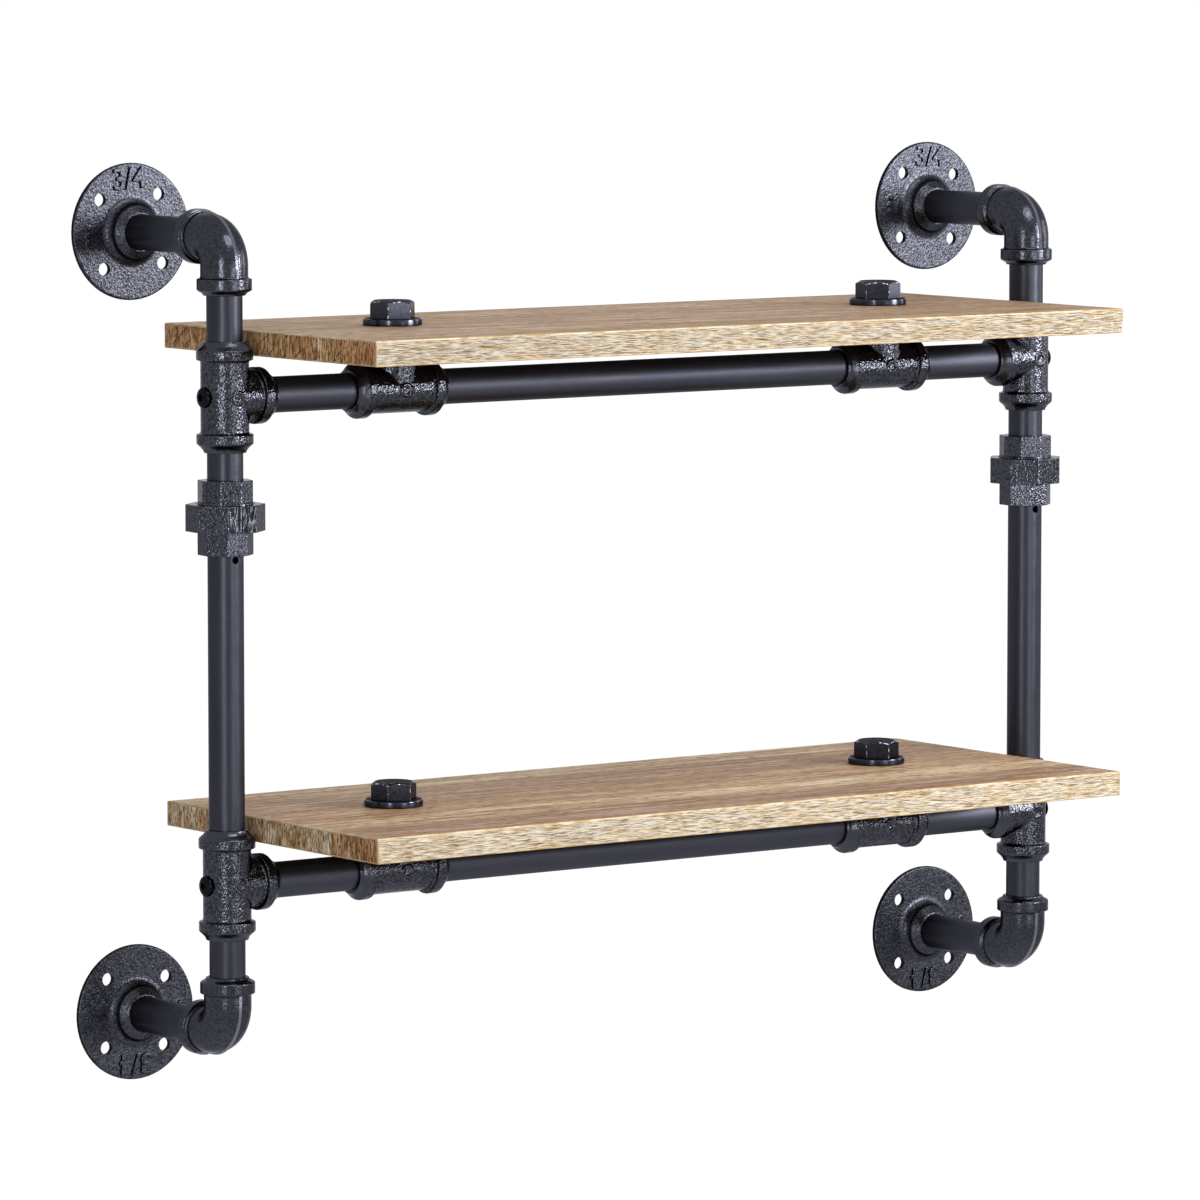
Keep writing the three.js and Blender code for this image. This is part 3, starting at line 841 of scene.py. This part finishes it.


# Unions. Each is a cast iron coupling in three pieces: a tail piece whose collar hangs inside the
# octagon nut, and a threaded body that the nut draws up to it. The corners are rubbed bright, and
# the bright chips also stand as a painted highlight along them.
octagon_sides = 8
end_flats = 38.5 * MM
end_height = 17.3 * MM
nut_half = 10.1 * MM
nut_lip = 5.1 * MM
nut_wall = 3.6 * MM
collar_height = 5.7 * MM
thread_step = 2.36 * MM
thread_inset = 1 * MM
thread_pitch = 2 * MM
thread_depth = 0.9 * MM
contact_gap = 0.3 * MM
running_gap = 0.7 * MM
corner_round = 0.55 * MM
round_steps = 3
sharp_corner = math.radians(30)
end_corner = end_flats / 2 / math.cos(math.pi / octagon_sides)
thread_radius = end_corner + thread_step
nut_flats = (thread_radius + running_gap + nut_wall) * 2
chiselled_turn = math.radians(8)
square_to = 0.99
wear_and_highlight_slot = 1
chiselled_slot = 2
union_turns = {
    "left": {"tail": 2.6, "nut": 16.9, "body": 16.6},
    "right": {"tail": 42.7, "nut": 27.4, "body": 16.9},
}


def worn_and_highlit_gunmetal(name, dark, bright, chip):
    """A dark finish worn through along a corner: bright metal shows in small chips and dashes, which are
    also a painted highlight along the corner.
    """
    chip_start = 0.52
    chip_full = 0.62
    chip_depth = 0.15
    rubbed_rough = 0.3
    material = new_material(name)
    tree = material.node_tree
    place = add_node(tree, "ShaderNodeTexCoord").outputs["Object"]
    chips = add_node(tree, "ShaderNodeTexNoise", {
        "Vector": place,
        "Scale": 1 / (chip * MM),
        "Detail": 3,
    })
    worn = add_node(tree, "ShaderNodeMapRange", {
        "Value": chips.outputs[0],
        "From Min": chip_start,
        "From Max": chip_full,
    })
    shade = add_node(tree, "ShaderNodeMix", {
        mix_share: worn.outputs[0],
        mix_first: linear(dark),
        mix_second: linear(bright),
    }, data_type="RGBA")
    bumps = add_node(tree, "ShaderNodeBump", {"Height": chips.outputs[0], "Distance": chip_depth * MM})
    metal = add_node(tree, "ShaderNodeBsdfPrincipled", {
        "Base Color": shade.outputs[mixed],
        "Metallic": 1,
        "Roughness": rubbed_rough,
        "Normal": bumps.outputs[0],
        "Specular Tint": linear(edge_tint),
    })
    add_node(tree, "ShaderNodeOutputMaterial", {"Surface": metal.outputs[0]})
    return material


def chiselled_gunmetal_painted_light(name, hollow, crest):
    """Gunmetal enamel over upright chisel marks. The ragged ridges are painted pale as a painted highlight,
    and the grooves between them are painted dark as painted shade.
    """
    groove = (0.9, 0.9, 7)
    groove_depth = 0.45
    hollow_height = 0.46
    crest_height = 0.6
    ridge_rough = 0.2
    material = new_material(name)
    tree = material.node_tree
    place = add_node(tree, "ShaderNodeTexCoord").outputs["Object"]
    spread = add_node(tree, "ShaderNodeMapping", {
        "Vector": place,
        "Scale": [size * MM for size in groove],
    }, vector_type="TEXTURE")
    ridges = add_node(tree, "ShaderNodeTexNoise", {
        "Vector": spread.outputs[0],
        "Scale": 1,
        "Detail": 1.5,
        "Distortion": 0.1,
    })
    height = add_node(tree, "ShaderNodeMapRange", {
        "Value": ridges.outputs[0],
        "From Min": hollow_height,
        "From Max": crest_height,
    })
    bumps = add_node(tree, "ShaderNodeBump", {"Height": height.outputs[0], "Distance": groove_depth * MM})
    shade = add_node(tree, "ShaderNodeMix", {
        mix_share: height.outputs[0],
        mix_first: linear(hollow),
        mix_second: linear(crest),
    }, data_type="RGBA")
    finish = add_node(tree, "ShaderNodeBsdfPrincipled", {
        "Base Color": shade.outputs[mixed],
        "Metallic": 1,
        "Roughness": ridge_rough,
        "Normal": bumps.outputs[0],
        "Specular Tint": linear(edge_tint),
    })
    add_node(tree, "ShaderNodeOutputMaterial", {"Surface": finish.outputs[0]})
    return material


def octagon(across_flats, low, high, turn):
    """An octagonal casting, its corners rounded and rubbed, with a painted highlight along them."""
    corner = across_flats / 2 / math.cos(math.pi / octagon_sides)
    block = close_up(turned("octagon", [(corner, low), (corner, high)], octagon_sides))
    block.data.materials.append(union_finish)
    block.data.materials.append(union_wear_and_highlight)
    apply_modifier(block, "BEVEL", width=corner_round, segments=round_steps, limit_method="ANGLE",
                   angle_limit=sharp_corner, material=wear_and_highlight_slot)
    return put(block, turn=(0, 0, turn))


def even_flats(piece):
    """Keeps the flats flat to the eye beside their rounded corners."""
    smooth(piece, cast_crease)
    apply_modifier(piece, "WEIGHTED_NORMAL", keep_sharp=True)


# The unions have the finest grain, so their flats read as flat, with a close sparkle.
union_finish = cast_gunmetal("pebbled_union_gunmetal", "#26272c", "#45464e", grain=1.5, depth=0.33,
                             rough=0.15)
union_wear_and_highlight = worn_and_highlit_gunmetal("worn_and_highlit_union_corner", "#26272c", "#84878f", chip=1.2)

collar_top = nut_half - nut_lip - contact_gap
end_foot = nut_half + contact_gap
end_top = end_foot + end_height
lip_underside = nut_half - nut_lip
seat = collar_top - collar_height - contact_gap
thread_foot = thread_inset - nut_half
thread_rings = [(thread_radius - thread_depth, thread_foot)]
for i in range(int((seat - thread_foot) / thread_pitch)):
    thread_rings.append((thread_radius, thread_foot + (i + 0.5) * thread_pitch))
    thread_rings.append((thread_radius - thread_depth, thread_foot + (i + 1) * thread_pitch))
thread_rings.append((thread_radius - thread_depth, seat))
for side, turns in union_turns.items():
    post = middle_of(f"{side}_middle_pipe")
    centre = (post.x, post.y, middle_of(f"{side}_union_nut").z)
    tail = octagon(end_flats, end_foot, end_top, turns["tail"])
    combine(tail, close_up(turned("collar", [
        (thread_radius, collar_top - collar_height),
        (thread_radius, collar_top),
        (end_corner, collar_top),
        (end_corner, end_foot),
        (end_corner - corner_round, end_foot + corner_round * 2),
    ], cast_sides)), "UNION")
    combine(tail, rod(bore_radius, -nut_half, end_top + overrun, cast_sides), "DIFFERENCE")
    even_flats(tail)
    dress(put(tail, centre), f"{side}_union_tail_piece", "frame")

    nut = octagon(nut_flats, -nut_half, nut_half, turns["nut"])
    if side == "left":
        nut.data.materials.append(chiselled_gunmetal_painted_light("chiselled_gunmetal_painted_light", "#17171b", "#5a5c63"))
        # The left nut's front flat takes the chiselled finish, with its painted highlight and painted shade.
        chiselled_way = Vector((-math.sin(chiselled_turn), -math.cos(chiselled_turn), 0))
        for face in nut.data.polygons:
            if face.normal.dot(chiselled_way) > square_to:
                face.material_index = chiselled_slot
    combine(nut, close_up(turned("cavity", [
        (thread_radius + running_gap, -nut_half - overrun),
        (thread_radius + running_gap, lip_underside),
        (end_corner + running_gap, lip_underside),
        (end_corner + running_gap, nut_half + overrun),
    ], cast_sides)), "DIFFERENCE")
    even_flats(nut)
    dress(put(nut, centre), f"{side}_union_nut", f"{side}_nut")

    body = octagon(end_flats, -end_top, thread_foot + corner_round, turns["body"])
    combine(body, close_up(turned("thread", thread_rings, cast_sides)), "UNION")
    combine(body, rod(bore_radius, -end_top - overrun, seat + overrun, cast_sides), "DIFFERENCE")
    even_flats(body)
    dress(put(body, centre), f"{side}_union_threaded_body", "frame")


# Shelf boards. Staves of oak glued edge to edge, planed, and stained a weathered brown on the faces
# and the sawn ends. The front is paler and rough, the arrises are eased, and each plug has a hole.
board_arris = 1.2 * MM
board_hole = 14.25 * MM
front_slot = 1
end_slot = 2
arris_slot = 3
mostly_facing = 0.9


def oak(name, board, staves, marks, relief, rough):
    """Oak in staves, each from its start to the next, behind marks that multiply the colour by their
    own. Each mark is a little hollow too, as an open pore or a crack is, so it catches the light."""
    # A stave's own tone moves its grain on, so the grain breaks off at each glue line.
    grain_shift = (3, 1, 1)
    dry_gloss = 0.3
    material = new_material(name)
    tree = material.node_tree
    low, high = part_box(board)
    place = add_node(tree, "ShaderNodeTexCoord").outputs["Object"]
    across = add_node(tree, "ShaderNodeSeparateXYZ", {"Vector": place}).outputs["Y"]
    share = add_node(tree, "ShaderNodeMapRange", {"Value": across, "From Min": high.y, "From Max": low.y})
    tone = add_node(tree, "ShaderNodeValToRGB", {"Fac": share.outputs[0]})
    tone.color_ramp.interpolation = "CONSTANT"
    stops = tone.color_ramp.elements
    stops.remove(stops[1])
    stops[0].position = 0
    stops[0].color = linear(staves[0][1])
    for start, stave_colour in staves[1:]:
        stops.new(start * MM / (high.y - low.y)).color = linear(stave_colour)
    own_place = add_node(tree, "ShaderNodeVectorMath", {0: tone.outputs[0], 1: grain_shift, 2: place},
                         operation="MULTIPLY_ADD").outputs[0]
    colour = tone.outputs[0]
    depth = 0
    for mark in marks:
        spread = add_node(tree, "ShaderNodeMapping", {
            "Vector": own_place,
            "Rotation": (math.radians(mark.get("turn", 0)), 0, 0),
            "Scale": [size * MM for size in mark["size"]],
        }, vector_type="TEXTURE")
        noise = add_node(tree, "ShaderNodeTexNoise", {
            "Vector": spread.outputs[0],
            "Scale": 1,
            "Detail": 3,
            "Distortion": mark.get("waver", 0),
        })
        shown = add_node(tree, "ShaderNodeMapRange", {
            "Value": noise.outputs[0],
            "From Min": mark["from"],
            "From Max": mark["to"],
        })
        colour = add_node(tree, "ShaderNodeMix", {
            mix_share: shown.outputs[0],
            mix_first: colour,
            mix_second: linear(mark["stain"]),
        }, data_type="RGBA", blend_type="MULTIPLY").outputs[mixed]
        depth = add_node(tree, "ShaderNodeMath", {0: depth, 1: shown.outputs[0]}, operation="ADD").outputs[0]
    bumps = add_node(tree, "ShaderNodeBump", {"Height": depth, "Distance": -relief * MM})
    surface = add_node(tree, "ShaderNodeBsdfPrincipled", {
        "Base Color": colour,
        "Roughness": rough,
        "Normal": bumps.outputs[0],
        "Specular IOR Level": dry_gloss,
    })
    add_node(tree, "ShaderNodeOutputMaterial", {"Surface": surface.outputs[0]})
    return material


# Each stave starts this many millimetres from the wall side of the board.
face_staves = {
    "upper": [(0, "#c9b59e"), (60, "#c4af97"), (125, "#c5af99"), (205, "#d0ba9b"), (230, "#bfab91")],
    "lower": [(0, "#efe0c6"), (40, "#c6ad92"), (122, "#ceb495"), (181, "#e6d5b8"), (222, "#bda389")],
}
front_staves = {"upper": [(0, "#bcb4a6")], "lower": [(0, "#c7bfb0")]}
end_staves = {
    "upper": [(0, "#f1c99e"), (60, "#e6bc8e"), (125, "#ecc292"), (205, "#ffdfb4"), (230, "#e6b886")],
    "lower": [(0, "#f6e8cd"), (40, "#e8cda8"), (122, "#f4dfbd"), (181, "#f7e9cd"), (222, "#dcb991")],
}
arris_staves = [(0, "#cdbb9c")]
# A mark's size is its spread in millimetres along the board, across it and up. Oak's own pores are
# 0.3 mm wide, so pores, flecks, dashes, cracks and pits are drawn coarser, as fine as can show.
growth_bands = {"size": (300, 11, 11), "waver": 1.2, "from": 0.38, "to": 0.62, "stain": "#d2bfaa"}
long_streaks = {"size": (90, 2.6, 2.6), "waver": 0.2, "from": 0.4, "to": 0.58, "stain": "#cbb7a0"}
open_pores = {"size": (12, 1.8, 1.8), "from": 0.53, "to": 0.62, "stain": "#a18a75"}
warm_patches = {"size": (34, 5, 4), "waver": 0.5, "from": 0.4, "to": 0.65, "stain": "#faecd4"}
orange_flecks = {"size": (8, 3, 0.8), "from": 0.52, "to": 0.62, "stain": "#efdabb"}
grey_dashes = {"size": (10, 3, 0.6), "waver": 0.3, "from": 0.5, "to": 0.62, "stain": "#bdb6af"}
hair_cracks = {"size": (15, 4, 0.5), "waver": 0.3, "from": 0.55, "to": 0.63, "stain": "#8d7c6b"}
end_rings = {"size": (30, 7, 26), "waver": 0.4, "from": 0.4, "to": 0.6, "stain": "#d2bba0"}
saw_marks = {"size": (10, 1.1, 8), "waver": 0.1, "from": 0.46, "to": 0.6, "stain": "#937b5d"}
end_pits = {"size": (10, 1.1, 3.5), "from": 0.56, "to": 0.64, "stain": "#604a38"}
long_checks = {"size": (200, 34, 1.3), "turn": -34, "from": 0.64, "to": 0.66, "stain": "#4a3424"}
rubbed_spots = {"size": (12, 12, 12), "from": 0.4, "to": 0.6, "stain": "#d8c3a0"}
# The planed faces show bands, streaks and pores. The front was left rough, so it is pale, flecked and
# cracked. The saw left marks, pits and long checks in the ends, and handling has rubbed the arrises.
face_marks = [growth_bands, long_streaks, open_pores]
front_marks = [warm_patches, orange_flecks, grey_dashes, hair_cracks]
end_marks = [end_rings, saw_marks, end_pits, long_checks]
for shelf in ("upper", "lower"):
    node = f"{shelf}_shelf_board"
    low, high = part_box(node)
    bpy.ops.object.select_all(action="DESELECT")
    bpy.ops.mesh.primitive_cube_add(size=1, location=(low + high) / 2, scale=high - low)
    board = put(bpy.context.object, bpy.context.object.location)
    board.data.materials.append(
        oak(f"stained_oak_face_{shelf}", node, face_staves[shelf], face_marks, relief=0.1, rough=0.58))
    board.data.materials.append(
        oak(f"rough_oak_front_{shelf}", node, front_staves[shelf], front_marks, relief=0.15, rough=0.7))
    board.data.materials.append(
        oak(f"sawn_oak_end_{shelf}", node, end_staves[shelf], end_marks, relief=0.2, rough=0.72))
    board.data.materials.append(
        oak(f"rubbed_oak_arris_{shelf}", node, arris_staves, [rubbed_spots], relief=0.1, rough=0.65))
    for face in board.data.polygons:
        if abs(face.normal.x) > mostly_facing:
            face.material_index = end_slot
        elif abs(face.normal.y) > mostly_facing:
            face.material_index = front_slot
    apply_modifier(board, "BEVEL", width=board_arris, segments=round_steps, limit_method="ANGLE",
                   material=arris_slot)
    for side in ("left", "right"):
        plug = middle_of(f"{shelf}_{side}_plug")
        drill = rod(board_hole, low.z - overrun, high.z + overrun, cast_sides, (plug.x, plug.y, 0))
        combine(board, drill, "DIFFERENCE")
    even_flats(board)
    dress(board, node, "frame")


# Plugs. Forged steel plugs with a hexagon head and a round flange, screwed down through the board
# into the rail tee. They are blackened to a glossy blue black, and rubbed along the corners, where
# the bright chips also stand as a painted highlight.
hex_flats = 31 * MM
hex_height = 13.6 * MM
hex_round = 0.5 * MM
hex_sharp_corner = math.radians(20)
crown_drop = 2.9 * MM
crown_share = 0.9
washer_radius = 22.3 * MM
washer_height = 5 * MM
washer_edge = 1 * MM
washer_ease = 0.3 * washer_edge
shank_reach = 33.3 * MM
plug_turns = {"left": {"upper": 14.9, "lower": 11}, "right": {"upper": -9.3, "lower": -4}}
crown_slot = 2
top_slot = 3
level_normal = 0.95
sloping_normal = 0.2
plug_finish = forged_black("blue_black_steel", "#282930", "#3a3c45", rough=0.16, speck=3)
plug_wear_and_highlight = worn_and_highlit_gunmetal("worn_and_highlit_plug_corner", "#30323a", "#a9adb8", chip=2.5)
# The turned crown is polished brighter than the faces, and the flat top is left dull and painted near black,
# as painted shade.
plug_crown = forged_black("polished_black_steel", "#2c2d34", "#3f414a", rough=0.1, speck=3)
plug_top_painted_shade = forged_black("painted_shade_black_steel_top", "#101013", "#1a1b1f", rough=0.55, speck=3)

washer_top = contact_gap + washer_height
hex_top = washer_top + hex_height
hex_corner = hex_flats / 2 / math.cos(math.pi / hexagon)
for side, turns in plug_turns.items():
    for shelf, turn in turns.items():
        node = f"{shelf}_{side}_plug"
        low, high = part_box(node)
        plug = rod(hex_corner, washer_top - overrun, hex_top, hexagon)
        combine(plug, close_up(turned("crown", [
            (hex_corner + overrun, 0),
            (hex_corner + overrun, hex_top - crown_drop),
            (hex_flats / 2 * crown_share, hex_top),
        ], cast_sides)), "INTERSECT")
        plug.data.materials.append(plug_finish)
        plug.data.materials.append(plug_wear_and_highlight)
        apply_modifier(plug, "BEVEL", width=hex_round, segments=round_steps, limit_method="ANGLE",
                       angle_limit=hex_sharp_corner, material=wear_and_highlight_slot)
        combine(plug, close_up(turned("washer", [
            (pipe_radius - pipe_chamfer, -shank_reach),
            (pipe_radius, pipe_chamfer - shank_reach),
            (pipe_radius, contact_gap),
            (washer_radius - washer_edge / 2, contact_gap),
            (washer_radius, contact_gap + washer_edge / 2),
            (washer_radius, washer_top - washer_edge),
            (washer_radius - washer_ease, washer_top - washer_ease),
            (washer_radius - washer_edge, washer_top),
        ], cast_sides)), "UNION")
        plug.data.materials.append(plug_crown)
        plug.data.materials.append(plug_top_painted_shade)
        # Painted shade on the flat top faces, and the polished finish on the sloping crown.
        for face in plug.data.polygons:
            if face.normal.z > level_normal:
                face.material_index = top_slot
            elif face.normal.z > sloping_normal and face.material_index != wear_and_highlight_slot:
                face.material_index = crown_slot
        even_flats(plug)
        board_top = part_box(f"{shelf}_shelf_board")[1].z
        place = ((low.x + high.x) / 2, (low.y + high.y) / 2, board_top)
        dress(put(plug, place, (0, 0, turn)), node, "frame")
